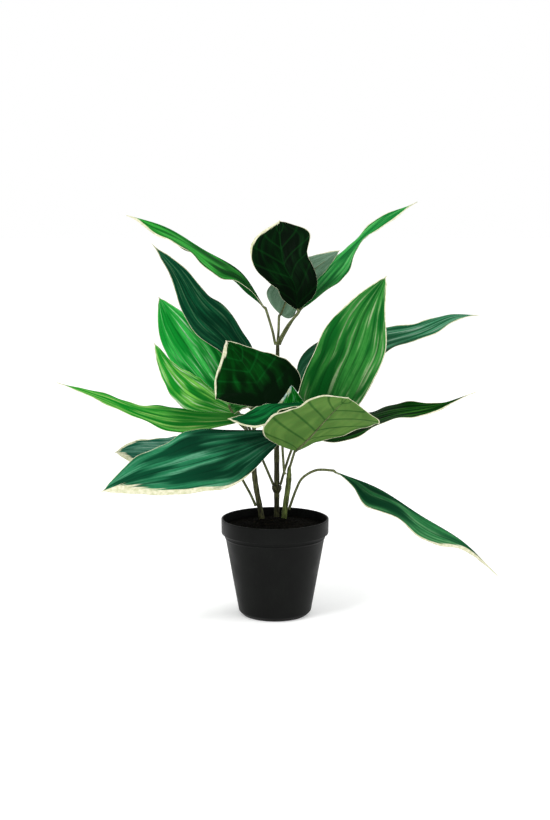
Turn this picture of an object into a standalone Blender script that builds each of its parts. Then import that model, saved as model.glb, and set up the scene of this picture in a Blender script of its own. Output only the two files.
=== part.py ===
"""Potted peace lily with cream-edged ribbed leaves, standing in a tapered black nursery pot.

The tables are in millimetres, and MM turns them into Blender's metres. The origin is the middle of
the pot's underside, +Z is up and -Y is the front of the plant.
"""

import math

import bmesh
import bpy
import numpy as np

MM = 0.001
GAP = 0.3
MERGE_DISTANCE = 0.01

# Pot: an open tapered shell with a stepped rim band.
POT_HEIGHT = 109.0
RIM_RADIUS = 60.0
RIM_BAND = 17.0
SHOULDER_RADIUS = 56.2
BASE_RADIUS = 40.6
BASE_ROUND = 4.5
WALL = 2.0
FLOOR = 3.0
LIP_ROUND = 1.0
LEDGE_RISE = 1.5
BEAD_HEIGHT = 87.6
BEAD_HALF = 0.9
BEAD_PROUD = 0.7
TURN_STEPS = 40

# Soil: a turned plug with a low mound, and a socket for each stem.
SOIL_EDGE = 99.5
SOIL_CROWN = 107.0
SOCKET_FLOOR = 82.0
SOCKET_SIDES = 16
MOUND_STEPS = 5

# Stems: each path runs from its socket to its top.
STEM_RADIUS = 3.1
STEM_BEVEL = 2
STEMS = {
    "stem_centre": [(2, 35, 82.3), (2, 35, 108), (2, 34, 150), (2, 32, 205), (3, 30, 300)],
    "stem_left": [(-15, 12, 82.3), (-15, 12, 106), (-21, 12, 140), (-24, 13, 165), (-27, 15, 200)],
    "stem_right": [(10, 12, 82.3), (10, 12, 106), (15, 12, 145), (16, 12, 163)],
}

# Collar: the moulded ring round the centre stem that its two low petioles spring from.
COLLAR_HEIGHTS = (131.0, 139.0)
COLLAR_RADIUS = 5.6
COLLAR_FOOT = 0.6

# Petioles: the stem, the height where it springs (None at the stem's top), the compass angle where it
# springs (0 is +X, 90 is the back) and the points that it passes on its way to its leaf.
PETIOLE_RADIUS = 1.1
PETIOLE_BEVEL = 1
PETIOLE_STEPS = 2
PETIOLE_RISE = 3.0
PETIOLE_LEAN = 1.2
PETIOLE_GAP = 1.1
PETIOLE_APPROACH = 4.0
PETIOLES = {
    "top_left": ("stem_centre", None, 180, [(-3, 30, 316)]),
    "top_front": ("stem_centre", None, 270, [(7, 24, 310), (15, 12, 324)]),
    "top_back": ("stem_centre", None, 90, [(4, 33, 316)]),
    "top_right": ("stem_centre", None, 0, [(11, 36, 312), (20, 52, 326)]),
    "upper_left": ("stem_left", None, 0, [(-26, 22, 222), (-26, 42, 250)]),
    "left_back": ("stem_left", None, 90, [(-29, 28, 206), (-34, 52, 211)]),
    "left_low": ("stem_left", None, 180, [(-32, 24, 206), (-36, 37, 211)]),
    "left_long": ("stem_left", None, 270, [(-22, 8, 209)]),
    "left_behind": ("stem_left", 120, 180, [(-30, 16, 137), (-46, 26, 163)]),
    "front_left": ("stem_right", 156, 190, [(9, 6, 176)]),
    "front_right": ("stem_right", None, 0, [(18, 6, 170)]),
    "right_drooping": ("stem_right", 116, 0, [(24, 9, 140), (31, 7, 153), (46, 4, 162)]),
    "right_low": ("stem_centre", 140.5, 340, [(12, 30, 161), (20, 28, 184)]),
    "inner_left": ("stem_centre", 140.5, 180, [(-14, 31, 169), (-26, 36, 195), (-42, 36, 212)]),
    "centre_front": ("stem_centre", 203, 250, [(-4, 8, 216)]),
    "centre_left": ("stem_centre", 196, 290, [(20, 2, 214), (36, -18, 230)]),
    "right_front": ("stem_centre", 192, 320, [(26, 18, 202)]),
    "inner_right": ("stem_centre", 186, 285, [(13, 6, 198)]),
    "right_long": ("stem_centre", 222, 30, [(14, 35, 242)]),
    "back_left": ("stem_centre", 190, 110, [(-4, 50, 204)]),
    "back_right": ("stem_centre", 186, 60, [(22, 60, 198)]),
}

# Leaf blade. Its half widths are given at places that crowd towards the petiole, where it swells.
# SLOPE_STEP is the share of the midrib over which its direction is read, and WAVE_SHIFT is how far
# the right margin's waves run ahead of the left margin's, in wavelengths.
LEAF_THICKNESS = 1.0
LEAF_ALONG = 10
LEAF_ACROSS = 6
CROWDING = 0.6
SLOPE_STEP = 0.01
WAVE_SHIFT = 0.3

# spine: points from the petiole to the tip. face: directions that the upper face looks, from the
# petiole to the tip. left and right: half widths of the blade, seen from above with the tip ahead.
# fold: degrees by which the left and right halves rise from the midrib. wave: height, count and phase
# of the waves along the margin.
LEAVES = {
    "leaf_top_left": dict(
        spine=[(-12, 30, 342), (-38, 28, 381), (-79, 22, 406), (-119, 15, 430), (-162, 10, 443)],
        face=[(0.8, 0, 1), (0.5, 0, 1), (0.3, -0.1, 1)],
        left=(1, 2, 8, 18, 32, 27, 18, 1),
        right=(1, 6, 16, 24, 28, 22, 12, 1),
        fold=(-25, -30),
        wave=(1.5, 2.5, 0.2),
    ),
    "leaf_top_front": dict(
        spine=[(25, 2, 341), (22, 8, 366), (10, 22, 389), (6, 40, 414), (5, 60, 438)],
        face=[(0.2, -1, 0.4), (0, -1, 0.4), (-0.3, -1, 0.5)],
        left=(1, 8, 18, 21, 27, 32, 20, 1),
        right=(1, 7, 18, 25, 28, 29, 34, 1),
        fold=(12, 12),
        wave=(1.5, 2.0, 0.5),
    ),
    "leaf_top_back": dict(
        spine=[(6, 44, 333), (16, 56, 354), (33, 66, 374), (53, 72, 389), (74, 76, 404)],
        face=[(-0.4, 1, 0.4), (-0.4, 1, 0.4), (-0.4, 1, 0.4)],
        left=(1, 15, 22, 23, 25, 20, 12, 1),
        right=(1, 16, 26, 26, 25, 20, 12, 1),
        fold=(10, 10),
        wave=(1.5, 2.0, 0.0),
    ),
    "leaf_top_right": dict(
        spine=[(30, 70, 338), (58, 92, 374), (90, 99, 407), (125, 100, 438), (164, 96, 459)],
        face=[(-0.6, -0.5, 0.6), (-0.6, -0.4, 0.6), (-0.6, -0.3, 0.6), (-0.6, -0.4, 0.6)],
        left=(1, 8, 14, 20, 22, 10, 9, 1),
        right=(1, 8, 14, 20, 22, 10, 9, 1),
        fold=(0, 0),
        wave=(1.5, 2.5, 0.0),
    ),
    "leaf_upper_left": dict(
        spine=[(-26, 56, 268), (-55, 62, 304), (-88, 62, 337), (-110, 58, 377), (-139, 56, 412)],
        face=[(0.4, -1, 0.3), (0.4, -1, 0.3), (0.4, -1, 0.3)],
        left=(1, 10, 17, 20, 25, 19, 10, 1),
        right=(1, 10, 17, 20, 25, 19, 10, 1),
        fold=(15, 15),
        wave=(1.5, 2.5, 0.0),
    ),
    "leaf_left_back": dict(
        spine=[(-43, 82, 217), (-69, 84, 249), (-93, 84, 281), (-116, 82, 315), (-134, 80, 351)],
        face=[(0.2, -1, 0.3), (0.2, -1, 0.3), (0.2, -1, 0.3)],
        left=(1, 7, 13, 18, 23, 27, 20, 1),
        right=(1, 10, 20, 28, 32, 30, 21, 1),
        fold=(8, 8),
        wave=(1.5, 2.5, 0.0),
    ),
    "leaf_left_low": dict(
        spine=[(-43, 50, 219), (-73, 50, 232), (-101, 50, 247), (-122, 50, 271), (-137, 50, 300)],
        face=[(0.5, -0.7, 0.8), (0.5, -0.7, 0.8), (0.6, -0.8, 0.5)],
        left=(1, 7, 13, 18, 26, 24, 12, 1),
        right=(1, 7, 13, 18, 26, 24, 12, 1),
        fold=(0, 0),
        wave=(1.5, 2.0, 0.0),
    ),
    "leaf_centre_front": dict(
        spine=[(-9, -22, 235), (-16, -8, 254), (-28, 6, 271), (-41, 18, 288), (-55, 26, 305)],
        face=[(0.2, -0.8, 0.5), (0.2, -0.8, 0.5), (0.2, -0.8, 0.5)],
        left=(1, 17, 43, 53, 50, 41, 24, 1),
        right=(1, 16, 38, 48, 46, 36, 18, 1),
        fold=(5, 5),
        wave=(1.5, 2.0, 0.0),
    ),
    "leaf_right_front": dict(
        spine=[(52, -4, 215), (66, -12, 258), (83, -14, 299), (99, -8, 340), (122, 4, 378)],
        face=[(0, -1, 0.2), (0, -1, 0.2), (0, -1, 0.2)],
        left=(1, 22, 36, 39, 38, 37, 20, 1),
        right=(1, 19, 28, 35, 38, 37, 22, 1),
        fold=(20, 20),
        wave=(2.0, 2.5, 0.0),
    ),
    "leaf_right_long": dict(
        spine=[(29, 35, 256), (74, 45, 286), (118, 50, 302), (162, 50, 314), (198, 50, 329), (230, 45, 332)],
        face=[(-0.3, -0.7, 0.7), (-0.2, -0.4, 0.9), (-0.2, -0.4, 0.9)],
        left=(1, 24, 38, 40, 32, 14, 10, 1),
        right=(1, 14, 28, 36, 33, 20, 12, 1),
        fold=(0, 0),
        wave=(1.5, 2.5, 0.0),
    ),
    "leaf_right_low": dict(
        spine=[(35, 26, 203), (83, 16, 210), (129, 6, 225), (176, -2, 234), (220, -8, 251)],
        face=[(-0.1, -0.3, 1), (-0.1, -0.3, 1), (-0.1, -0.3, 1)],
        left=(1, 16, 30, 33, 30, 20, 7, 1),
        right=(1, 16, 30, 33, 30, 20, 7, 1),
        fold=(0, 0),
        wave=(1.5, 3.0, 0.0),
    ),
    "leaf_front_right": dict(
        spine=[(23, -14, 187), (38, -42, 207), (53, -65, 228), (66, -83, 245), (76, -94, 256)],
        face=[(-0.3, 1, 0.4), (-0.3, 1, 0.4), (-0.3, 1, 0.4)],
        left=(1, 5, 10, 16, 30, 40, 32, 1),
        right=(1, 24, 48, 56, 55, 43, 30, 1),
        fold=(0, 0),
        wave=(2.0, 2.5, 0.0),
    ),
    "leaf_left_long": dict(
        spine=[(-22, 9, 221), (-88, -2, 218), (-141, -12, 227), (-188, -18, 246), (-237, -20, 263)],
        face=[(0.1, -0.15, 1), (0.1, -0.35, 1), (0.1, -0.35, 1)],
        left=(1, 10, 18, 27, 30, 14, 8, 1),
        right=(1, 14, 24, 31, 29, 18, 9, 1),
        fold=(0, 0),
        wave=(1.5, 2.5, 0.0),
    ),
    "leaf_front_left": dict(
        spine=[(4, -10, 203), (-44, -45, 191), (-91, -75, 182), (-136, -95, 174), (-180, -105, 159)],
        face=[(0.1, -0.8, 1), (0.1, -0.8, 1), (0.1, -0.8, 1)],
        left=(1, 11, 20, 33, 44, 38, 25, 1),
        right=(1, 14, 24, 38, 45, 36, 25, 1),
        fold=(0, 0),
        wave=(1.5, 2.5, 0.0),
    ),
    "leaf_left_behind": dict(
        spine=[(-60, 35, 176), (-91, 45, 177), (-122, 50, 174), (-152, 45, 175), (-182, 35, 177)],
        face=[(0, -0.6, 1), (0, -0.6, 1), (0, -0.8, 0.6)],
        left=(1, 9, 20, 28, 28, 25, 20, 1),
        right=(1, 9, 20, 28, 28, 25, 20, 1),
        fold=(0, 0),
        wave=(1.5, 2.0, 0.0),
    ),
    "leaf_right_drooping": dict(
        spine=[(67, 0, 161), (114, -15, 145), (159, -28, 118), (205, -35, 90), (243, -40, 53)],
        face=[(0.3, -0.2, 1), (0.5, -0.2, 1), (0.6, -0.2, 0.6)],
        left=(1, 10, 24, 32, 30, 24, 10, 1),
        right=(1, 3, 12, 29, 25, 30, 8, 1),
        fold=(-35, -30),
        wave=(1.5, 2.5, 0.0),
    ),
    "leaf_centre_left": dict(
        spine=[
            (36, -24, 240),
            (16, -30, 241),
            (-2, -33, 238),
            (-15, -36, 230),
            (-30, -39, 226),
            (-51, -40, 226),
        ],
        face=[(0, -0.2, 1), (0, -0.2, 1), (0, -0.7, 1), (0, -0.6, 1)],
        left=(1, 6, 12, 16, 17, 17, 15, 1),
        right=(1, 3, 4, 5, 10, 13, 10, 1),
        fold=(0, 0),
        wave=(1.0, 1.5, 0.0),
    ),
    "leaf_inner_right": dict(
        spine=[(17, -21, 224), (18, -21, 234), (18, -21, 243), (18, -21, 252), (18, -21, 260)],
        face=[(0, -1, 0.1), (0, -1, 0.1), (0, -1, 0.1)],
        left=(1, 14, 20, 20, 16, 10, 5, 1),
        right=(1, 12, 17, 17, 15, 11, 6, 1),
        fold=(0, 0),
        wave=(0.5, 1.5, 0.0),
    ),
    "leaf_inner_left": dict(
        spine=[(-50, 28, 231), (-46, 17, 236), (-38, 7, 238), (-28, -1, 238), (-18, -6, 235)],
        face=[(0, -1, 0.3), (0, -1, 0.3), (0, -1, 0.3)],
        left=(1, 5, 8, 10, 11, 9, 5, 1),
        right=(1, 7, 11, 13, 12, 9, 5, 1),
        fold=(0, 0),
        wave=(0.5, 1.5, 0.0),
    ),
    "leaf_back_left": dict(
        spine=[(-6, 72, 214), (-12, 104, 230), (-22, 136, 244), (-36, 164, 250), (-50, 188, 246)],
        face=[(0.2, -0.7, 1), (0.1, -0.2, 1), (0, 0.2, 1)],
        left=(1, 14, 24, 30, 33, 28, 15, 1),
        right=(1, 20, 30, 36, 36, 28, 15, 1),
        fold=(10, 10),
        wave=(2.0, 2.5, 0.0),
    ),
    "leaf_back_right": dict(
        spine=[(40, 84, 212), (60, 104, 230), (80, 128, 242), (100, 152, 248), (120, 172, 244)],
        face=[(-0.2, -0.7, 1), (-0.1, -0.2, 1), (0, 0.2, 1)],
        left=(1, 8, 18, 30, 36, 28, 15, 1),
        right=(1, 12, 24, 33, 36, 28, 15, 1),
        fold=(10, 10),
        wave=(2.0, 2.5, 0.3),
    ),
}


# ---------------------------------------------------------------- scene and materials


def clear_scene():
    for item in list(bpy.data.objects):
        bpy.data.objects.remove(item)


def new_collection(name):
    made = bpy.data.collections.new(name)
    bpy.context.scene.collection.children.link(made)
    return made


def new_material(name, colour, roughness):
    made = bpy.data.materials.new(name)
    made.use_nodes = True
    shader = made.node_tree.nodes["Principled BSDF"]
    shader.inputs["Base Color"].default_value = (*colour, 1.0)
    shader.inputs["Roughness"].default_value = roughness
    made.diffuse_color = (*colour, 1.0)
    return made


# ---------------------------------------------------------------- curves and blades


def smooth_path(points, share):
    """The value on a Catmull-Rom curve through the points, with share running from 0 to 1."""
    points = np.asarray(points, float)
    last = len(points) - 1
    start = min(int(share * last), last - 1)
    along = share * last - start
    here, there = points[start], points[start + 1]
    before = points[start - 1] if start else 2 * here - there
    after = points[start + 2] if start + 2 <= last else 2 * there - here
    return 0.5 * (
        2 * here
        + (there - before) * along
        + (2 * before - 5 * here + 4 * there - after) * along**2
        + (3 * here - before - 3 * there + after) * along**3
    )


def unit(vector):
    return vector / np.linalg.norm(vector)


def leaf_frame(leaf, share):
    """Place, sideways direction and upper-face direction at a share of the midrib."""
    ahead = smooth_path(leaf["spine"], min(share + SLOPE_STEP, 1.0))
    behind = smooth_path(leaf["spine"], max(share - SLOPE_STEP, 0.0))
    forward = unit(ahead - behind)
    face = smooth_path(leaf["face"], share)
    face = unit(face - forward * np.dot(face, forward))
    return smooth_path(leaf["spine"], share), np.cross(forward, face), face


def leaf_point(leaf, share, across):
    """A point of the blade's middle surface. Across runs from -1 (left margin) to 1 (right)."""
    place, sideways, face = leaf_frame(leaf, share)
    is_right = int(across > 0)
    half = leaf["right"] if is_right else leaf["left"]
    width = smooth_path(half, share**CROWDING)
    fold = math.radians(leaf["fold"][is_right])
    height, count, phase = leaf["wave"]
    swing = math.sin(2 * math.pi * (count * share + phase + WAVE_SHIFT * is_right))
    ripple = height * across**2 * swing * math.sin(math.pi * share)
    out = width * across * math.cos(fold)
    rise = width * abs(across) * math.sin(fold) + ripple
    return place + sideways * out + face * rise


def add_leaf(name, leaf, material, collection):
    """A grid bent into the blade's middle surface, thickened by a Solidify modifier."""
    blade = bmesh.new()
    bmesh.ops.create_grid(blade, x_segments=LEAF_ACROSS, y_segments=LEAF_ALONG, size=1.0)
    for corner in blade.verts:
        share = (corner.co.y + 1) / 2
        corner.co = leaf_point(leaf, share, corner.co.x) * MM
    data = bpy.data.meshes.new(name)
    blade.to_mesh(data)
    data.shade_smooth()
    blade.free()
    data.materials.append(material)
    made = bpy.data.objects.new(name, data)
    collection.objects.link(made)
    thick = made.modifiers.new("thickness", "SOLIDIFY")
    thick.thickness = LEAF_THICKNESS * MM
    thick.offset = 0.0
    return made


def add_tube(name, path, radius, bevel, material, collection):
    """A round bar along a path, with flat filled ends. Bevel is its roundness."""
    data = bpy.data.curves.new(name, "CURVE")
    data.dimensions = "3D"
    data.bevel_depth = radius * MM
    data.bevel_resolution = bevel
    data.use_fill_caps = True
    spline = data.splines.new("POLY")
    spline.points.add(len(path) - 1)
    for point, place in zip(spline.points, path):
        point.co = (*(axis * MM for axis in place), 1.0)
    data.materials.append(material)
    made = bpy.data.objects.new(name, data)
    collection.objects.link(made)
    return made


def add_turned(name, profile, material, collection):
    """A body of revolution. The profile runs down its outer side, top to bottom."""
    edges = [(index, index + 1) for index in range(len(profile) - 1)]
    data = bpy.data.meshes.new(name)
    data.from_pydata([(radius * MM, 0.0, height * MM) for radius, height in profile], edges, [])
    data.materials.append(material)
    made = bpy.data.objects.new(name, data)
    collection.objects.link(made)
    screw = made.modifiers.new("turn", "SCREW")
    screw.steps = TURN_STEPS
    screw.render_steps = TURN_STEPS
    screw.use_merge_vertices = True
    screw.merge_threshold = MERGE_DISTANCE * MM
    screw.use_smooth_shade = True
    return made


# ---------------------------------------------------------------- pot and soil


def wall_radius(height):
    """Outside radius of the tapered wall at a height."""
    band = POT_HEIGHT - RIM_BAND
    share = (height - BASE_ROUND) / (band - BASE_ROUND)
    return BASE_RADIUS + (SHOULDER_RADIUS - BASE_RADIUS) * share


def add_pot(material, collection):
    """The pot with its rim band, and a fine bead round the wall below the band."""
    band = POT_HEIGHT - RIM_BAND
    inner = RIM_RADIUS - WALL
    profile = [
        (0, FLOOR),
        (BASE_RADIUS - WALL, FLOOR),
        (SHOULDER_RADIUS - WALL, band + WALL),
        (inner, band + WALL + LEDGE_RISE),
        (inner, POT_HEIGHT - LIP_ROUND),
        (RIM_RADIUS - LIP_ROUND, POT_HEIGHT),
        (RIM_RADIUS, POT_HEIGHT - LIP_ROUND),
        (RIM_RADIUS, band + LIP_ROUND),
        (RIM_RADIUS - LIP_ROUND, band),
        (SHOULDER_RADIUS, band),
        (wall_radius(BEAD_HEIGHT + BEAD_HALF), BEAD_HEIGHT + BEAD_HALF),
        (wall_radius(BEAD_HEIGHT) + BEAD_PROUD, BEAD_HEIGHT),
        (wall_radius(BEAD_HEIGHT - BEAD_HALF), BEAD_HEIGHT - BEAD_HALF),
        (BASE_RADIUS, BASE_ROUND),
        (BASE_RADIUS - BASE_ROUND, 0),
        (0, 0),
    ]
    return add_turned("pot", profile, material, collection)


def add_soil(material, collection, cutter_collection):
    """The mound and the plug below it, which fills the pot, with a socket for each stem."""
    band = POT_HEIGHT - RIM_BAND
    edge = RIM_RADIUS - WALL - GAP
    mound = SOIL_CROWN - SOIL_EDGE
    shares = [step / MOUND_STEPS for step in range(MOUND_STEPS + 1)]
    profile = [
        (edge * share, SOIL_EDGE + mound * math.cos(math.pi / 2 * share) ** 2) for share in shares
    ]
    profile += [
        (edge, band + WALL + LEDGE_RISE + GAP),
        (SHOULDER_RADIUS - WALL - GAP, band + WALL + GAP),
        (BASE_RADIUS - WALL - GAP, FLOOR + GAP),
        (0, FLOOR + GAP),
    ]
    soil = add_turned("soil", profile, material, collection)
    for stem_name, path in STEMS.items():
        cutter = add_socket_cutter(stem_name + "_socket", path[0], cutter_collection)
        cut = soil.modifiers.new(stem_name + "_socket", "BOOLEAN")
        cut.operation = "DIFFERENCE"
        cut.object = cutter
    return soil


def add_socket_cutter(name, foot, collection):
    depth = POT_HEIGHT - SOCKET_FLOOR
    shape = bmesh.new()
    bmesh.ops.create_cone(
        shape,
        cap_ends=True,
        segments=SOCKET_SIDES,
        radius1=(STEM_RADIUS + GAP) * MM,
        radius2=(STEM_RADIUS + GAP) * MM,
        depth=depth * MM,
    )
    data = bpy.data.meshes.new(name)
    shape.to_mesh(data)
    shape.free()
    made = bpy.data.objects.new(name, data)
    made.location = (foot[0] * MM, foot[1] * MM, (SOCKET_FLOOR + depth / 2) * MM)
    made.display_type = "WIRE"
    made.hide_render = True
    collection.objects.link(made)
    return made


# ---------------------------------------------------------------- stems and petioles


def add_stem(name, path, material, collection):
    return add_tube(name, path, STEM_RADIUS, STEM_BEVEL, material, collection)


def add_collar(material, collection):
    """A moulded ring round the centre stem."""
    low, high = COLLAR_HEIGHTS
    axis = stem_axis("stem_centre", (low + high) / 2)
    bore = STEM_RADIUS + GAP
    profile = [
        (bore, low),
        (bore, high),
        (COLLAR_RADIUS, high),
        (COLLAR_RADIUS, (low + high) / 2),
        (bore + COLLAR_FOOT, low),
        (bore, low),
    ]
    collar = add_turned("stem_collar", profile, material, collection)
    collar.location = (axis[0] * MM, axis[1] * MM, 0.0)
    return collar


def stem_axis(name, height):
    """The point of a stem's centre line at a height."""
    path = np.array(STEMS[name], float)
    return np.array([np.interp(height, path[:, 2], path[:, axis]) for axis in range(3)])


def petiole_start(name):
    """Against the stem's side, or on a ring on top of the stem where several spring together."""
    stem, height, angle, _ = PETIOLES[name]
    turn = math.radians(angle)
    outward = np.array([math.cos(turn), math.sin(turn), 0.0])
    if height is not None:
        return stem_axis(stem, height) + outward * (STEM_RADIUS + PETIOLE_RADIUS + PETIOLE_GAP)
    whorl = [item for item in PETIOLES.values() if item[0] == stem and item[1] is None]
    spread = (PETIOLE_RADIUS + GAP) / math.sin(math.pi / len(whorl)) if len(whorl) > 1 else 0.0
    return np.array(STEMS[stem][-1], float) + outward * spread + np.array([0.0, 0.0, PETIOLE_GAP])


def petiole_path(name):
    """From the stem through the points on the way, arriving in line with the leaf's midrib."""
    base, ahead = (smooth_path(LEAVES["leaf_" + name]["spine"], share) for share in (0.0, 0.02))
    forward = unit(ahead - base)
    start = petiole_start(name)
    turn = math.radians(PETIOLES[name][2])
    lean = np.array([math.cos(turn) * PETIOLE_LEAN, math.sin(turn) * PETIOLE_LEAN, PETIOLE_RISE])
    via = PETIOLES[name][3]
    end = base - forward * PETIOLE_GAP
    points = [start, start + lean, *via, base - forward * PETIOLE_APPROACH, end]
    count = PETIOLE_STEPS * (len(points) - 1)
    return [smooth_path(points, step / count) for step in range(count + 1)]


# ---------------------------------------------------------------- the plant


clear_scene()
plant = new_collection("potted_peace_lily")
cutters = new_collection("cutters")
cutters.hide_render = True

pot_plastic = new_material("pot_plastic", (0.012, 0.012, 0.013), 0.5)
dark_soil = new_material("soil", (0.02, 0.018, 0.016), 0.9)
stem_green = new_material("stem", (0.06, 0.07, 0.025), 0.6)
petiole_green = new_material("petiole", (0.12, 0.15, 0.05), 0.55)
leaf_green = new_material("leaf", (0.02, 0.2, 0.05), 0.45)

add_pot(pot_plastic, plant)
add_soil(dark_soil, plant, cutters)
add_collar(stem_green, plant)
for stem_name, stem_path in STEMS.items():
    add_stem(stem_name, stem_path, stem_green, plant)
for petiole_name in PETIOLES:
    add_tube(
        "petiole_" + petiole_name,
        petiole_path(petiole_name),
        PETIOLE_RADIUS,
        PETIOLE_BEVEL,
        petiole_green,
        plant,
    )
for leaf_name, blade in LEAVES.items():
    add_leaf(leaf_name, blade, leaf_green, plant)
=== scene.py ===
"""Looks of the potted peace lily: fine ribbed leaf blades with cream margins, petioles that run on as
midribs, stems, soil and a moulded pot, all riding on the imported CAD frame.

The tables are in millimetres, as the frame was designed, and MM turns them into metres.
"""

import math

import bmesh
import bpy
import numpy as np
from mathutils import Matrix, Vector, noise


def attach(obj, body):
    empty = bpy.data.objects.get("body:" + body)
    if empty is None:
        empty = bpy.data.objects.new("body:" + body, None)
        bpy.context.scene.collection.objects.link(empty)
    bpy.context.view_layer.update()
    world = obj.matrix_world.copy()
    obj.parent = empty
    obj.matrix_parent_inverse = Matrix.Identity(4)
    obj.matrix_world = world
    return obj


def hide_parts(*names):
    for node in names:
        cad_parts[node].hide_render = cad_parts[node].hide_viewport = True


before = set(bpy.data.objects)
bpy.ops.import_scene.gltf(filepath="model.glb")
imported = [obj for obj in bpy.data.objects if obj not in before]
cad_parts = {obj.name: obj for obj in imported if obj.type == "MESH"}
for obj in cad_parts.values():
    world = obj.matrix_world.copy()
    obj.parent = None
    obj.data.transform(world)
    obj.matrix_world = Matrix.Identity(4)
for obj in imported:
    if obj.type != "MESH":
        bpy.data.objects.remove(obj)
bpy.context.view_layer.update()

MM = 0.001

# Pot and soil.
POT_HEIGHT = 109.0
RIM_RADIUS = 60.0
RIM_BAND = 17.0
SHOULDER_RADIUS = 56.2
BASE_RADIUS = 40.6
BASE_ROUND = 4.5
WALL = 2.0
FLOOR = 3.0
BEAD_HEIGHT = 87.6
SOIL_EDGE = 99.5
SOIL_CROWN = 107.0
SOIL_FLOOR = 92.0
TURN_STEPS = 160

# Stems: each path runs from its socket to its top.
STEM_RADIUS = 3.1
STEMS = {
    "stem_centre": [(2, 35, 82.3), (2, 35, 108), (2, 34, 150), (2, 32, 205), (3, 30, 300)],
    "stem_left": [(-15, 12, 82.3), (-15, 12, 106), (-21, 12, 140), (-24, 13, 165), (-27, 15, 200)],
    "stem_right": [(10, 12, 82.3), (10, 12, 106), (15, 12, 145), (16, 12, 163)],
}
COLLAR_HEIGHTS = (131.0, 139.0)
COLLAR_RADIUS = 5.6

# Petioles: the stem, the height where it springs (None at the stem's top), the compass angle where it
# springs (0 is +X, 90 is the back) and the points that it passes on its way to its leaf.
PETIOLE_RADIUS = 1.15
PETIOLE_RISE = 3.0
PETIOLE_LEAN = 1.2
PETIOLE_GAP = 1.1
PETIOLE_APPROACH = 4.0
WHORL_GAP = 0.3
PETIOLES = {
    "top_left": ("stem_centre", None, 180, [(-3, 30, 316)]),
    "top_front": ("stem_centre", None, 270, [(7, 24, 310), (15, 12, 324)]),
    "top_back": ("stem_centre", None, 90, [(4, 33, 316)]),
    "top_right": ("stem_centre", None, 0, [(11, 36, 312), (20, 52, 326)]),
    "upper_left": ("stem_left", None, 0, [(-26, 22, 222), (-26, 42, 250)]),
    "left_back": ("stem_left", None, 90, [(-29, 28, 206), (-34, 52, 211)]),
    "left_low": ("stem_left", None, 180, [(-32, 24, 206), (-36, 37, 211)]),
    "left_long": ("stem_left", None, 270, [(-22, 8, 209)]),
    "left_behind": ("stem_left", 120, 180, [(-30, 16, 137), (-46, 26, 163)]),
    "front_left": ("stem_right", 156, 190, [(9, 6, 176)]),
    "front_right": ("stem_right", None, 0, [(18, 6, 170)]),
    "right_drooping": ("stem_right", 116, 0, [(24, 9, 140), (31, 7, 153), (46, 4, 162)]),
    "right_low": ("stem_centre", 140.5, 340, [(12, 30, 161), (20, 28, 184)]),
    "inner_left": ("stem_centre", 140.5, 180, [(-14, 31, 169), (-26, 36, 195), (-42, 36, 212)]),
    "centre_front": ("stem_centre", 203, 250, [(-4, 8, 216)]),
    "centre_left": ("stem_centre", 196, 290, [(20, 2, 214), (36, -18, 230)]),
    "right_front": ("stem_centre", 192, 320, [(26, 18, 202)]),
    "inner_right": ("stem_centre", 186, 285, [(13, 6, 198)]),
    "right_long": ("stem_centre", 222, 30, [(14, 35, 242)]),
    "back_left": ("stem_centre", 190, 110, [(-4, 50, 204)]),
    "back_right": ("stem_centre", 186, 60, [(22, 60, 198)]),
}

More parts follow.
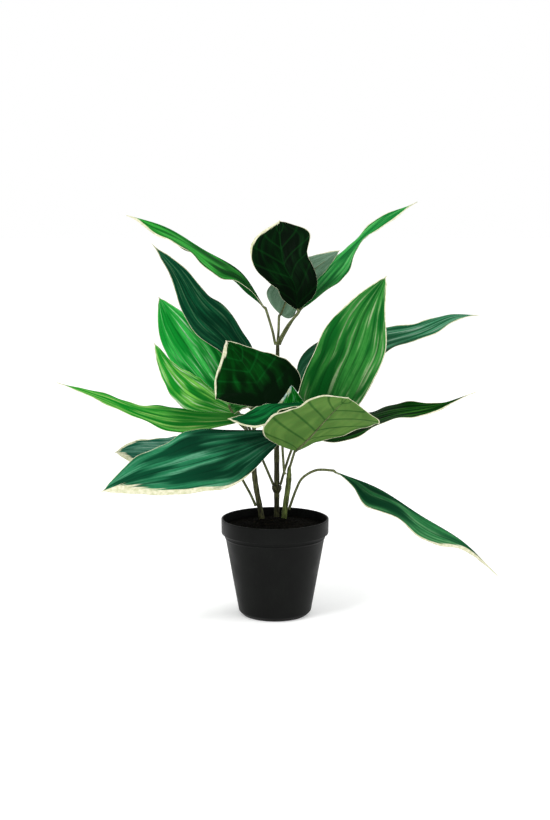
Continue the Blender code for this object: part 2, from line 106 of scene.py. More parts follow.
# spine: points from the petiole to the tip. face: directions that the upper face looks, from the
# petiole to the tip. left and right: half widths of the blade, seen from above with the tip ahead.
# fold: degrees by which the left and right halves rise from the midrib. wave: height, count and phase
# of the waves along the margin.
LEAVES = {
    "leaf_top_left": dict(
        spine=[(-12, 30, 342), (-38, 28, 381), (-79, 22, 406), (-119, 15, 430), (-162, 10, 443)],
        face=[(0.8, 0, 1), (0.5, 0, 1), (0.3, -0.1, 1)],
        left=(1, 2.4, 10.0, 20.7, 36.8, 32.4, 21.6, 1),
        right=(1, 6, 16, 24, 28, 22, 12, 1),
        fold=(-25, -30),
        wave=(4.0, 1.8, 0.2),
    ),
    "leaf_top_front": dict(
        spine=[(25, 2, 341), (22, 8, 366), (10, 22, 389), (6, 40, 414), (5, 60, 438)],
        face=[(0.2, -1, 0.4), (0, -1, 0.4), (-0.3, -1, 0.5)],
        left=(1, 8, 18, 21, 27, 35, 30, 1),
        right=(1, 7, 18, 25, 28, 29, 34, 1),
        fold=(12, 12),
        wave=(1.5, 2.0, 0.5),
    ),
    "leaf_top_back": dict(
        spine=[(6, 44, 333), (16, 56, 354), (33, 66, 374), (53, 72, 389), (74, 76, 404)],
        face=[(-0.4, 1, 0.4), (-0.4, 1, 0.4), (-0.4, 1, 0.4)],
        left=(1, 15, 22, 23, 25, 20, 12, 1),
        right=(1, 16, 26, 26, 25, 20, 12, 1),
        fold=(10, 10),
        wave=(1.5, 2.0, 0.0),
    ),
    "leaf_top_right": dict(
        spine=[(30, 70, 338), (58, 92, 374), (90, 99, 407), (125, 100, 438), (164, 96, 459)],
        face=[(-0.6, -0.5, 0.6), (-0.6, -0.4, 0.6), (-0.6, -0.3, 0.6), (-0.6, -0.4, 0.6)],
        left=(1, 8, 14, 20, 22, 10, 9, 1),
        right=(1, 9.6, 19.6, 30.0, 30.8, 13.0, 10.8, 1),
        fold=(0, 0),
        wave=(3.5, 1.8, 0.0),
    ),
    "leaf_upper_left": dict(
        spine=[(-26, 56, 268), (-55, 62, 304), (-88, 62, 337), (-110, 58, 377), (-139, 56, 412)],
        face=[(0.4, -1, 0.3), (0.4, -1, 0.3), (0.4, -1, 0.3)],
        left=(1, 10, 17, 20, 25, 19, 10, 1),
        right=(1, 10, 17, 20, 25, 19, 10, 1),
        fold=(15, 15),
        wave=(1.5, 2.5, 0.0),
    ),
    "leaf_left_back": dict(
        spine=[(-43, 82, 217), (-69, 84, 249), (-93, 84, 281), (-116, 82, 315), (-134, 80, 351)],
        face=[(0.2, -1, 0.3), (0.2, -1, 0.3), (0.2, -1, 0.3)],
        left=(1, 7, 13, 18, 23, 27, 20, 1),
        right=(1, 10, 20, 28, 32, 30, 21, 1),
        fold=(8, 8),
        wave=(1.5, 2.5, 0.0),
    ),
    "leaf_left_low": dict(
        spine=[(-43, 50, 219), (-73, 50, 232), (-101, 50, 247), (-122, 50, 271), (-137, 50, 300)],
        face=[(0.5, -0.7, 0.8), (0.5, -0.7, 0.8), (0.6, -0.8, 0.5)],
        left=(1, 7, 13, 18, 26, 24, 12, 1),
        right=(1, 7, 13, 18, 26, 24, 12, 1),
        fold=(0, 0),
        wave=(1.5, 2.0, 0.0),
    ),
    "leaf_centre_front": dict(
        spine=[(-9, -22, 235), (-16, -8, 254), (-28, 6, 271), (-41, 18, 288), (-55, 26, 305)],
        face=[(0.2, -0.8, 0.5), (0.2, -0.8, 0.5), (0.2, -0.8, 0.5)],
        left=(1, 17, 43, 53, 50, 41, 24, 1),
        right=(1, 16, 38, 48, 46, 36, 18, 1),
        fold=(5, 5),
        wave=(1.5, 2.0, 0.0),
    ),
    "leaf_right_front": dict(
        spine=[(52, -4, 215), (66, -12, 258), (83, -14, 299), (99, -8, 340), (122, 4, 378)],
        face=[(0, -1, 0.2), (0, -1, 0.2), (0, -1, 0.2)],
        left=(1, 22, 36, 39, 38, 37, 20, 1),
        right=(1, 19, 28, 35, 38, 37, 22, 1),
        fold=(20, 20),
        wave=(2.0, 2.5, 0.0),
    ),
    "leaf_right_long": dict(
        spine=[(29, 35, 256), (74, 45, 286), (118, 50, 302), (162, 50, 314), (198, 50, 329), (230, 45, 332)],
        face=[(-0.3, -0.7, 0.7), (-0.2, -0.4, 0.9), (-0.2, -0.4, 0.9)],
        left=(1, 24, 38, 40, 32, 14, 10, 1),
        right=(1, 14, 28, 36, 33, 20, 12, 1),
        fold=(0, 0),
        wave=(4.0, 1.6, 0.3),
    ),
    "leaf_right_low": dict(
        spine=[(35, 26, 203), (83, 16, 210), (129, 6, 225), (176, -2, 234), (220, -8, 251)],
        face=[(-0.1, -0.3, 1), (-0.1, -0.3, 1), (-0.1, -0.3, 1)],
        left=(1, 16, 30, 33, 30, 20, 7, 1),
        right=(1, 16, 30, 33, 30, 20, 7, 1),
        fold=(0, 0),
        wave=(4.0, 1.8, 0.1),
    ),
    "leaf_front_right": dict(
        spine=[(23, -14, 187), (38, -42, 207), (53, -65, 228), (66, -83, 245), (76, -94, 256)],
        face=[(-0.3, 1, 0.4), (-0.3, 1, 0.4), (-0.3, 1, 0.4)],
        left=(1, 5, 10, 16, 34.5, 54.0, 48.0, 1),
        right=(1, 20.4, 40.8, 56, 55, 43, 30, 1),
        fold=(0, 0),
        wave=(2.5, 2.2, 0.1),
    ),
    "leaf_left_long": dict(
        spine=[(-22, 9, 221), (-88, -2, 218), (-141, -12, 227), (-188, -18, 246), (-237, -20, 263)],
        face=[(0.1, -0.15, 1), (0.1, -0.35, 1), (0.1, -0.35, 1)],
        left=(1, 10, 18, 27, 30, 14, 8, 1),
        right=(1, 14, 24, 31, 29, 18, 9, 1),
        fold=(0, 0),
        wave=(1.5, 2.5, 0.0),
    ),
    "leaf_front_left": dict(
        spine=[(4, -10, 203), (-44, -45, 191), (-91, -75, 182), (-136, -95, 174), (-180, -105, 159)],
        face=[(0.1, -0.8, 1), (0.1, -0.8, 1), (0.1, -0.8, 1)],
        left=(1, 11, 20, 33, 44, 38, 25, 1),
        right=(1, 14, 24, 38, 45, 36, 25, 1),
        fold=(0, 0),
        wave=(1.5, 2.5, 0.0),
    ),
    "leaf_left_behind": dict(
        spine=[(-60, 35, 176), (-91, 45, 177), (-122, 50, 174), (-152, 45, 175), (-182, 35, 177)],
        face=[(0, -0.6, 1), (0, -0.6, 1), (0, -0.8, 0.6)],
        left=(1, 9, 20, 28, 28, 25, 20, 1),
        right=(1, 9, 20, 28, 28, 25, 20, 1),
        fold=(0, 0),
        wave=(1.5, 2.0, 0.0),
    ),
    "leaf_right_drooping": dict(
        spine=[(67, 0, 161), (114, -15, 145), (159, -28, 118), (205, -35, 90), (243, -40, 53)],
        face=[(0.3, -0.2, 1), (0.5, -0.2, 1), (0.6, -0.2, 0.6)],
        left=(1, 10, 24, 32, 30, 24, 10, 1),
        right=(1, 3, 12, 29, 25, 30, 8, 1),
        fold=(-35, -30),
        wave=(3.0, 2.0, 0.0),
    ),
    "leaf_centre_left": dict(
        spine=[
            (36, -24, 240),
            (16, -30, 241),
            (-2, -33, 238),
            (-15, -36, 230),
            (-30, -39, 226),
            (-51, -40, 226),
        ],
        face=[(0, -0.2, 1), (0, -0.2, 1), (0, -0.7, 1), (0, -0.6, 1)],
        left=(1, 6, 12, 16, 17, 17, 15, 1),
        right=(1, 3, 4, 5, 10, 13, 10, 1),
        fold=(0, 0),
        wave=(1.0, 1.5, 0.0),
    ),
    "leaf_inner_right": dict(
        spine=[(17, -21, 224), (18, -21, 234), (18, -21, 243), (18, -21, 252), (18, -21, 260)],
        face=[(0, -1, 0.1), (0, -1, 0.1), (0, -1, 0.1)],
        left=(1, 14, 20, 20, 16, 10, 5, 1),
        right=(1, 12, 17, 17, 15, 11, 6, 1),
        fold=(0, 0),
        wave=(0.5, 1.5, 0.0),
    ),
    "leaf_inner_left": dict(
        spine=[(-50, 28, 231), (-46, 17, 236), (-38, 7, 238), (-28, -1, 238), (-18, -6, 235)],
        face=[(0, -1, 0.3), (0, -1, 0.3), (0, -1, 0.3)],
        left=(1, 5, 8, 10, 11, 9, 5, 1),
        right=(1, 7, 11, 13, 12, 9, 5, 1),
        fold=(0, 0),
        wave=(0.5, 1.5, 0.0),
    ),
    "leaf_back_left": dict(
        spine=[(-6, 72, 214), (-12, 104, 230), (-22, 136, 244), (-36, 164, 250), (-50, 188, 246)],
        face=[(0.2, -0.7, 1), (0.1, -0.2, 1), (0, 0.2, 1)],
        left=(1, 24, 30, 32, 33, 28, 15, 1),
        right=(1, 26, 32, 36, 36, 28, 15, 1),
        fold=(10, 10),
        wave=(2.0, 2.5, 0.0),
    ),
    "leaf_back_right": dict(
        spine=[(40, 84, 212), (60, 104, 230), (80, 128, 242), (100, 152, 248), (120, 172, 244)],
        face=[(-0.2, -0.7, 1), (-0.1, -0.2, 1), (0, 0.2, 1)],
        left=(1, 8, 18, 30, 36, 28, 15, 1),
        right=(1, 12, 24, 33, 36, 28, 15, 1),
        fold=(10, 10),
        wave=(2.0, 2.5, 0.3),
    ),
}



# How each blade looks. dark, light and pale are the blade's greens and its streaks, and under is its
# underside, as 0 to 255 screen colours. left and right are the widths of the cream margin in mm at
# CREAM_SHARES of the way to the tip. ribs is the number of ribs across each half. branch is True where
# veins leave the midrib like a feather's, streaks is how strong the pale streaks are, shade is how far
# painted shade darkens the blade towards the petiole, standing in for the shadow under the leaves, and
# tail is the share of the midrib that narrows to a tail.
SHORT_TAIL = 0.05
THIN_TAIL = 0.12
LONG_TAIL = 0.16
LOOKS = {
    "leaf_top_left": dict(
        dark=(8, 88, 22), light=(42, 146, 46), pale=(114, 196, 108), under=(8, 56, 22),
        left=(0.2, 0.3, 1.2, 3.0), right=(0.1, 0.2, 0.3, 1.5),
        ribs=5, branch=False, streaks=0.35, shade=0.8, tail=LONG_TAIL,
    ),
    "leaf_top_front": dict(
        dark=(0, 10, 1), light=(0, 26, 3), pale=(10, 64, 18), under=(70, 88, 78),
        left=(0.1, 0.1, 0.2, 6.0), right=(0.1, 0.1, 0.2, 1.2),
        ribs=5, branch=True, streaks=0.25, shade=0.6, tail=SHORT_TAIL,
    ),
    "leaf_top_back": dict(
        dark=(10, 60, 28), light=(40, 110, 55), pale=(90, 150, 100), under=(125, 155, 132),
        left=(0.1, 0.2, 0.4, 1.0), right=(0.1, 0.2, 0.4, 1.0),
        ribs=5, branch=False, streaks=0.3, shade=0.3, tail=SHORT_TAIL,
    ),
    "leaf_top_right": dict(
        dark=(14, 108, 44), light=(56, 160, 72), pale=(146, 206, 138), under=(16, 84, 38),
        left=(0.2, 0.3, 0.6, 1.5), right=(0.2, 0.3, 0.6, 1.5),
        ribs=4, branch=False, streaks=0.5, shade=0.4, tail=0.14,
    ),
    "leaf_upper_left": dict(
        dark=(8, 65, 40), light=(18, 90, 54), pale=(118, 156, 120), under=(40, 72, 52),
        left=(0.1, 0.2, 0.4, 1.2), right=(0.1, 0.2, 0.4, 1.0),
        ribs=4, branch=False, streaks=0.6, shade=0.5, tail=THIN_TAIL,
    ),
    "leaf_left_back": dict(
        dark=(16, 140, 46), light=(70, 200, 88), pale=(240, 240, 240), under=(70, 120, 70),
        left=(0.1, 0.2, 0.3, 0.8), right=(0.1, 0.2, 0.3, 0.8),
        ribs=4, branch=False, streaks=0.75, shade=0.5, tail=SHORT_TAIL,
    ),
    "leaf_left_low": dict(
        dark=(24, 145, 40), light=(128, 204, 84), pale=(240, 240, 240), under=(70, 120, 70),
        left=(0.1, 0.2, 0.3, 0.8), right=(0.1, 0.2, 0.3, 0.8),
        ribs=4, branch=False, streaks=0.75, shade=0.5, tail=SHORT_TAIL,
    ),
    "leaf_centre_front": dict(
        dark=(1, 36, 4), light=(1, 55, 9), pale=(12, 94, 34), under=(70, 100, 70),
        left=(0.05, 0.05, 2.6, 6.5), right=(0.05, 0.3, 1.0, 1.2),
        ribs=5, branch=True, streaks=0.25, shade=1.0, tail=SHORT_TAIL,
    ),
    "leaf_right_front": dict(
        dark=(12, 87, 28), light=(52, 127, 52), pale=(188, 195, 160), under=(70, 120, 70),
        left=(0.6, 0.8, 1.1, 1.4), right=(0.4, 0.9, 1.6, 1.6),
        ribs=4, branch=False, streaks=0.6, shade=0.3, tail=SHORT_TAIL,
    ),
    "leaf_right_long": dict(
        dark=(20, 82, 50), light=(64, 133, 96), pale=(212, 195, 204), under=(60, 100, 75),
        left=(0.3, 0.5, 0.9, 1.0), right=(0.3, 0.5, 0.9, 1.0),
        ribs=4, branch=False, streaks=0.4, shade=0.5, tail=THIN_TAIL,
    ),
    "leaf_right_low": dict(
        dark=(0, 36, 1), light=(7, 70, 4), pale=(90, 152, 58), under=(60, 90, 50),
        left=(0.3, 0.5, 1.0, 1.2), right=(0.3, 0.6, 1.1, 1.0),
        ribs=4, branch=False, streaks=0.5, shade=0.5, tail=THIN_TAIL,
    ),
    "leaf_front_right": dict(
        dark=(8, 60, 16), light=(50, 124, 50), pale=(150, 190, 130), under=(90, 123, 58),
        left=(0.3, 0.5, 1.0, 1.4), right=(0.6, 1.2, 2.4, 2.6),
        ribs=3, branch=True, streaks=0.3, shade=0.3, tail=SHORT_TAIL,
    ),
    "leaf_left_long": dict(
        dark=(8, 123, 26), light=(85, 170, 65), pale=(206, 200, 134), under=(70, 120, 50),
        left=(0.1, 0.2, 0.3, 0.8), right=(0.1, 0.2, 0.2, 0.8),
        ribs=4, branch=False, streaks=0.6, shade=0.6, tail=THIN_TAIL,
    ),
    "leaf_front_left": dict(
        dark=(5, 62, 38), light=(40, 120, 80), pale=(110, 166, 137), under=(70, 100, 75),
        left=(0.1, 0.1, 5.0, 14.0), right=(0.1, 0.1, 0.3, 1.0),
        ribs=5, branch=False, streaks=0.6, shade=0.6, tail=SHORT_TAIL,
    ),
    "leaf_left_behind": dict(
        dark=(18, 80, 60), light=(76, 126, 106), pale=(156, 180, 166), under=(70, 100, 75),
        left=(0.1, 0.2, 1.0, 9.0), right=(0.1, 0.2, 0.5, 4.0),
        ribs=5, branch=False, streaks=0.5, shade=0.4, tail=SHORT_TAIL,
    ),
    "leaf_right_drooping": dict(
        dark=(10, 64, 36), light=(45, 115, 64), pale=(134, 177, 133), under=(30, 70, 34),
        left=(0.1, 0.2, 0.4, 2.0), right=(0.2, 0.8, 2.0, 4.0),
        ribs=4, branch=False, streaks=0.4, shade=0.5, tail=THIN_TAIL,
    ),
    "leaf_centre_left": dict(
        dark=(2, 60, 26), light=(6, 96, 44), pale=(50, 132, 74), under=(24, 60, 30),
        left=(1.9, 2.0, 2.3, 2.6), right=(0.1, 0.1, 0.3, 1.5),
        ribs=4, branch=False, streaks=0.3, shade=0.2, tail=SHORT_TAIL,
    ),
    "leaf_inner_right": dict(
        dark=(2, 84, 16), light=(10, 112, 24), pale=(140, 176, 168), under=(60, 110, 60),
        left=(3.2, 4.4, 4.0, 3.0), right=(0.1, 0.1, 0.2, 0.6), cream=(150, 180, 176),
        ribs=3, branch=False, streaks=0.3, shade=0.2, tail=SHORT_TAIL,
    ),
    "leaf_inner_left": dict(
        dark=(24, 104, 34), light=(84, 150, 74), pale=(190, 220, 176), under=(60, 120, 60),
        left=(0.1, 0.3, 0.6, 4.0), right=(0.1, 0.3, 0.6, 4.0),
        ribs=3, branch=False, streaks=0.5, shade=0.2, tail=SHORT_TAIL,
    ),
    "leaf_back_left": dict(
        dark=(4, 60, 18), light=(24, 104, 36), pale=(110, 160, 110), under=(50, 90, 50),
        left=(0.3, 0.6, 1.2, 2.0), right=(0.3, 0.6, 1.2, 2.0),
        ribs=4, branch=False, streaks=0.5, shade=0.4, tail=SHORT_TAIL,
    ),
    "leaf_back_right": dict(
        dark=(4, 60, 18), light=(26, 110, 40), pale=(120, 168, 116), under=(50, 90, 50),
        left=(0.3, 0.6, 1.2, 2.0), right=(0.3, 0.6, 1.2, 2.0),
        ribs=4, branch=False, streaks=0.5, shade=0.4, tail=SHORT_TAIL,
    ),
}

# Screen colours of the cream margins, the pot, the soil and the stalks (dark shade, light shade).
CREAM = (218, 214, 190)
CREAM_SHADE = (186, 188, 150)
POT_SHADES = ((10, 11, 10), (18, 20, 18))
SOIL_SHADES = ((4, 4, 3), (20, 18, 15))
SOIL_FIBRE = (44, 34, 24)
STEM_SHADES = ((34, 32, 26), (84, 86, 54))
GREEN_STEM_SHADES = ((52, 58, 30), (104, 118, 62))
STALK_SHADES = ((62, 66, 44), (118, 126, 84))
STEM_GRAIN = 900.0
STALK_GRAIN = 1500.0

# Streaks of a blade: columns over its half width, rows over its length, and fineness.
BROAD_STREAKS = (2.6, 2.0, 1.5)
FINE_STREAKS = (7.0, 2.0, 3.0)
HAIR_STREAKS = (42.0, 3.0, 2.0)
STREAK_SCALE = 1.5
SEED_STEP = 3.7
VEIN_AND_SHADE_SHARE = 0.45
SWAY = 0.05
SWAY_SCALE = 14.0
MOTTLE_SCALE = 260.0
WEAVE_SCALE = 2600.0
RIB_GROOVE = 0.6
FEATHER_GROOVE = 0.3
RAGGEDNESS = 0.4
LEAF_GLOSS = 0.02
STALK_GLOSS = 0.08
POT_GLOSS = 0.08
SOIL_GLOSS = 0.02
FLOOR_GLOSS = 0.1
FLOOR_GLOW = 0.3

# Blades. The half widths stand at places that crowd towards the petiole, where a blade swells.
# SLOPE_STEP is the share of the midrib over which its direction is read, and WAVE_SHIFT is how far the
# right margin's waves run ahead of the left margin's, in wavelengths.
CROWDING = 0.6
SLOPE_STEP = 0.01
WAVE_SHIFT = 0.3
BLADE_ALONG = 110
BLADE_ACROSS = 56
BLADE_THICKNESS = 0.8
MARGIN_THICKNESS = 0.3
TIP_WIDTH = 0.25
RIB_HEIGHT = 0.55
FRILL_HEIGHT = 0.7
FRILL_COUNT = 6.5
CREAM_SHARES = (0.0, 0.2, 0.5, 1.0)
FRILL_PHASE = 3.0
FRILL_SHIFT = 0.37
FEATHER_COUNT = 6.0
FEATHER_SWEEP = 1.3
FEATHER_BEND = 0.8
RIB_CROWDING = 0.9
RIB_SWAY = 0.12
RIB_TURNS = 7.0
MIDRIB_GROOVE = 0.07

# Petioles and stems as they are drawn. A petiole runs on as the midrib over MIDRIB_REACH of its blade.
PETIOLE_FOOT = 1.5
PETIOLE_HEAD = 1.3
FOOT_LENGTH = 0.3
MIDRIB_REACH = 0.8
MIDRIB_STEPS = 30
MIDRIB_TAPER = 0.75
MIDRIB_SINK = 0.55
PETIOLE_SIDES = 14
STEM_STEPS = 60
STEM_SIDES = 24
STEM_CAP = 2.0
STEM_CAP_SHARES = (0.35, 0.7, 0.95)
STEM_NARROWS_AT = 0.75
STEM_NARROWING = 0.35
STEM_SWELLING = 0.04
STEM_SWELL_TURN = 0.9

# Turned pieces stop short of the axis by AXIS_RADIUS, so that no face closes to a point.
AXIS_RADIUS = 0.02
EDGE_ROUND = 0.6
CORNER_ROUND = 0.8
LEDGE_LOW = 2.0
LEDGE_HIGH = 3.5
BEAD_HALF = 1.1
BEAD_PROUD = 0.8
WALL_MIDDLE = 50.0
COLLAR_STEPS = 48
COLLAR_BITE = 0.2
COLLAR_TOP_CHAMFER = (0.5, 0.6)
COLLAR_SHOULDER = (0.4, 0.8)
COLLAR_LIP = 0.9
SOIL_GAP = 0.3
SOIL_STEP = 2.0
SOIL_TAPER = 3.6
SOIL_RINGS = 70
# Each set of crumbs: how fine it is, per mm, and how high in mm.
CRUMBS = ((0.33, 1.1), (0.9, 0.7))
CRUMB_FADE = 2.0

# Floor, in metres, and lights, in metres and watts.
FLOOR_HALF = 40.0
PLANT_MIDDLE = (0.0, 0.0, 0.25)
LIGHTS = {
    "key": dict(place=(-0.9, -1.1, 2.1), size=0.6, power=26.0),
    "fill": dict(place=(1.6, -1.6, 0.9), size=1.2, power=5.0),
    "back": dict(place=(0.4, 1.6, 2.0), size=1.5, power=6.0),
}
WHITE = (1.0, 1.0, 1.0, 1.0)

# Camera: it stands in front of the plant and looks slightly down on it.
CAMERA_PLACE = (0.0, -1.5, 0.433)
CAMERA_PITCH = 7.7
CAMERA_LENS = 60.19
SENSOR_WIDTH = 36.0


# ---------------------------------------------------------------- curves


def smooth_path(points, share):
    """The value on a Catmull-Rom curve through the points, with share running from 0 to 1."""
    points = np.asarray(points, float)
    last = len(points) - 1
    start = min(int(share * last), last - 1)
    along = share * last - start
    here, there = points[start], points[start + 1]
    before = points[start - 1] if start else 2 * here - there
    after = points[start + 2] if start + 2 <= last else 2 * there - here
    return 0.5 * (
        2 * here
        + (there - before) * along
        + (2 * before - 5 * here + 4 * there - after) * along**2
        + (3 * here - before - 3 * there + after) * along**3
    )


def unit(vector):
    return vector / np.linalg.norm(vector)


def leaf_frame(leaf, share):
    """Place, sideways direction and upper-face direction at a share of the midrib."""
    ahead = smooth_path(leaf["spine"], min(share + SLOPE_STEP, 1.0))
    behind = smooth_path(leaf["spine"], max(share - SLOPE_STEP, 0.0))
    forward = unit(ahead - behind)
    face = smooth_path(leaf["face"], share)
    face = unit(face - forward * np.dot(face, forward))
    return smooth_path(leaf["spine"], share), np.cross(forward, face), face


def stem_axis(name, height):
    """The point of a stem's centre line at a height."""
    path = np.array(STEMS[name], float)
    return np.array([np.interp(height, path[:, 2], path[:, axis]) for axis in range(3)])


def petiole_start(name):
    """Against the stem's side, or on a ring on top of the stem where several spring together."""
    stem, height, angle, _ = PETIOLES[name]
    turn = math.radians(angle)
    outward = np.array([math.cos(turn), math.sin(turn), 0.0])
    if height is not None:
        return stem_axis(stem, height) + outward * (STEM_RADIUS + PETIOLE_RADIUS)
    whorl = [item for item in PETIOLES.values() if item[0] == stem and item[1] is None]
    spread = (PETIOLE_RADIUS + WHORL_GAP) / math.sin(math.pi / len(whorl)) if len(whorl) > 1 else 0.0
    return np.array(STEMS[stem][-1], float) + outward * spread


def petiole_points(name):
    """From the stem through the points on the way, arriving in line with the leaf's midrib."""
    base, ahead = (smooth_path(LEAVES["leaf_" + name]["spine"], share) for share in (0.0, 0.02))
    forward = unit(ahead - base)
    start = petiole_start(name)
    turn = math.radians(PETIOLES[name][2])
    lean = np.array([math.cos(turn) * PETIOLE_LEAN, math.sin(turn) * PETIOLE_LEAN, PETIOLE_RISE])
    via = PETIOLES[name][3]
    return [start, start + lean, *via, base - forward * PETIOLE_APPROACH, base - forward * PETIOLE_GAP]


# ---------------------------------------------------------------- materials


def linear(colour):
    """A 0 to 255 screen colour as Blender's linear values, with alpha."""
    shares = [channel / 255 for channel in colour]
    return (*(s / 12.92 if s <= 0.04045 else ((s + 0.055) / 1.055) ** 2.4 for s in shares), 1.0)


class Nodes:
    """Short ways to add the shader nodes that the materials share."""

    def __init__(self, name):
        self.material = bpy.data.materials.new(name)
        self.material.use_nodes = True
        self.tree = self.material.node_tree
        self.shader = self.tree.nodes["Principled BSDF"]

    def link(self, source, socket):
        if isinstance(source, bpy.types.NodeSocket):
            self.tree.links.new(source, socket)
        else:
            socket.default_value = source

    def attribute(self, name):
        node = self.tree.nodes.new("ShaderNodeAttribute")
        node.attribute_name = name
        return node.outputs["Fac"]

    def maths(self, operation, first, second=0.0):
        node = self.tree.nodes.new("ShaderNodeMath")
        node.operation = operation
        self.link(first, node.inputs[0])
        self.link(second, node.inputs[1])
        return node.outputs[0]

    def ramp(self, value, low, high, out_low=0.0, out_high=1.0):
        node = self.tree.nodes.new("ShaderNodeMapRange")
        node.interpolation_type = "SMOOTHSTEP"
        self.link(value, node.inputs["Value"])
        for socket, number in zip(
            ("From Min", "From Max", "To Min", "To Max"), (low, high, out_low, out_high)
        ):
            node.inputs[socket].default_value = number
        return node.outputs["Result"]

    def mix(self, share, first, second):
        node = self.tree.nodes.new("ShaderNodeMix")
        node.data_type = "RGBA"
        colour_sockets = [socket for socket in node.inputs if socket.type == "RGBA"]
        self.link(share, node.inputs["Factor"])
        self.link(first, colour_sockets[0])
        self.link(second, colour_sockets[1])
        return [socket for socket in node.outputs if socket.type == "RGBA"][0]

    def vector(self, first, second, third):
        node = self.tree.nodes.new("ShaderNodeCombineXYZ")
        for value, socket in zip((first, second, third), node.inputs):
            self.link(value, socket)
        return node.outputs[0]

    def noise(self, vector, scale, detail=2.0):
        node = self.tree.nodes.new("ShaderNodeTexNoise")
        self.link(vector, node.inputs["Vector"])
        node.inputs["Scale"].default_value = scale
        node.inputs["Detail"].default_value = detail
        return node.outputs["Fac"]

    def place(self):
        """Where the point is on its piece, in metres."""
        return self.tree.nodes.new("ShaderNodeTexCoord").outputs["Object"]

    def bump(self, height, strength, distance):
        node = self.tree.nodes.new("ShaderNodeBump")
        node.inputs["Strength"].default_value = strength
        node.inputs["Distance"].default_value = distance
        self.link(height, node.inputs["Height"])
        self.link(node.outputs["Normal"], self.shader.inputs["Normal"])




def leaf_material(name, look, seed):
    """Printed cloth: streaked greens between the ribs, a ragged cream margin and a paler underside."""
    nodes = Nodes(name)
    across, share, under, rib, band = (
        nodes.attribute(key) for key in ("across", "share", "under", "rib", "band")
    )
    place = nodes.place()
    sway = nodes.ramp(nodes.noise(place, SWAY_SCALE, 1.0), 0.3, 0.7, -SWAY, SWAY)
    swayed = nodes.maths("ADD", across, sway)

    def streaks_of(columns, rows, detail):
        """Noise stretched along the blade."""
        wide = nodes.maths("MULTIPLY", swayed, columns)
        long = nodes.maths("MULTIPLY", share, rows)
        return nodes.noise(nodes.vector(wide, long, seed), STREAK_SCALE, detail)

    broad = streaks_of(*BROAD_STREAKS)
    fine = streaks_of(*FINE_STREAKS)
    hair = streaks_of(*HAIR_STREAKS)
    mottle = nodes.noise(place, MOTTLE_SCALE, 3.0)
    dark, light, pale = (linear(look[key]) for key in ("dark", "light", "pale"))
    # The darker green is both the colour of the veins and the colour of the painted shade towards the
    # petiole.
    vein_and_shade_green = linear(tuple(channel * VEIN_AND_SHADE_SHARE for channel in look["dark"]))

    green = nodes.mix(nodes.ramp(broad, 0.38, 0.62), dark, light)
    green = nodes.mix(nodes.ramp(fine, 0.52, 0.7, 0.0, 0.6), green, dark)
    lit = nodes.maths("MULTIPLY", nodes.ramp(fine, 0.5, 0.36), nodes.ramp(broad, 0.42, 0.6))
    lit = nodes.maths("MULTIPLY", lit, nodes.ramp(hair, 0.35, 0.6, 0.4, 1.0))
    green = nodes.mix(nodes.maths("MULTIPLY", lit, look["streaks"]), green, pale)
    groove = nodes.ramp(rib, 0.36, 0.04, 0.0, FEATHER_GROOVE if look["branch"] else RIB_GROOVE)
    green = nodes.mix(groove, green, pale if look["branch"] else vein_and_shade_green)
    green = nodes.mix(nodes.ramp(hair, 0.45, 0.7, 0.0, 0.25), green, dark)
    green = nodes.mix(nodes.ramp(mottle, 0.35, 0.75, 0.0, 0.2), green, dark)
    # Painted shade: along a wavering line, the green darkens into the darker green towards the petiole, as
    # far as the look's shade, standing in for the shadow that falls under the leaves.
    waver = nodes.maths("ADD", share, nodes.ramp(broad, 0.3, 0.7, -0.12, 0.12))
    green = nodes.mix(nodes.ramp(waver, 0.56, 0.22, 0.0, look["shade"]), green, vein_and_shade_green)

    below = nodes.mix(nodes.ramp(broad, 0.35, 0.65, 0.0, 0.35), linear(look["under"]), dark)
    below = nodes.mix(nodes.ramp(rib, 0.34, 0.05, 0.0, 0.7), below, dark)
    below = nodes.mix(nodes.ramp(mottle, 0.3, 0.7, 0.0, 0.15), below, light)
    body = nodes.mix(under, green, below)

    ragged = nodes.maths("ADD", band, nodes.ramp(fine, 0.3, 0.7, -RAGGEDNESS, RAGGEDNESS))
    cream = nodes.mix(
        nodes.ramp(mottle, 0.3, 0.7), linear(look.get("cream", CREAM)), linear(CREAM_SHADE)
    )
    nodes.link(nodes.mix(nodes.ramp(ragged, 1.15, 0.75), body, cream), nodes.shader.inputs["Base Color"])

    nodes.link(nodes.ramp(fine, 0.3, 0.7, 0.45, 0.6), nodes.shader.inputs["Roughness"])
    nodes.shader.inputs["Specular IOR Level"].default_value = LEAF_GLOSS
    weave = nodes.noise(place, WEAVE_SCALE, 1.0)
    height = nodes.maths("ADD", nodes.maths("MULTIPLY", fine, 0.8), nodes.maths("MULTIPLY", weave, 0.2))
    nodes.bump(height, 0.5, 0.0006)
    return nodes.material


def bark_material(name, shades, grain):
    """Moulded stalk: streaks along its length, olive to brown, with a fine uneven skin."""
    nodes = Nodes(name)
    place = nodes.place()
    stretch = nodes.tree.nodes.new("ShaderNodeMapping")
    nodes.link(place, stretch.inputs["Vector"])
    stretch.inputs["Scale"].default_value = (1.0, 1.0, 0.12)
    streak = nodes.noise(stretch.outputs[0], grain, 3.0)
    patch = nodes.noise(place, 60.0, 2.0)
    colour = nodes.mix(nodes.ramp(streak, 0.35, 0.65), *map(linear, shades))
    colour = nodes.mix(nodes.ramp(patch, 0.45, 0.75, 0.0, 0.6), colour, linear(shades[0]))
    nodes.link(colour, nodes.shader.inputs["Base Color"])
    nodes.link(nodes.ramp(streak, 0.3, 0.7, 0.42, 0.62), nodes.shader.inputs["Roughness"])
    nodes.shader.inputs["Specular IOR Level"].default_value = STALK_GLOSS
    nodes.bump(streak, 0.4, 0.0005)
    return nodes.material


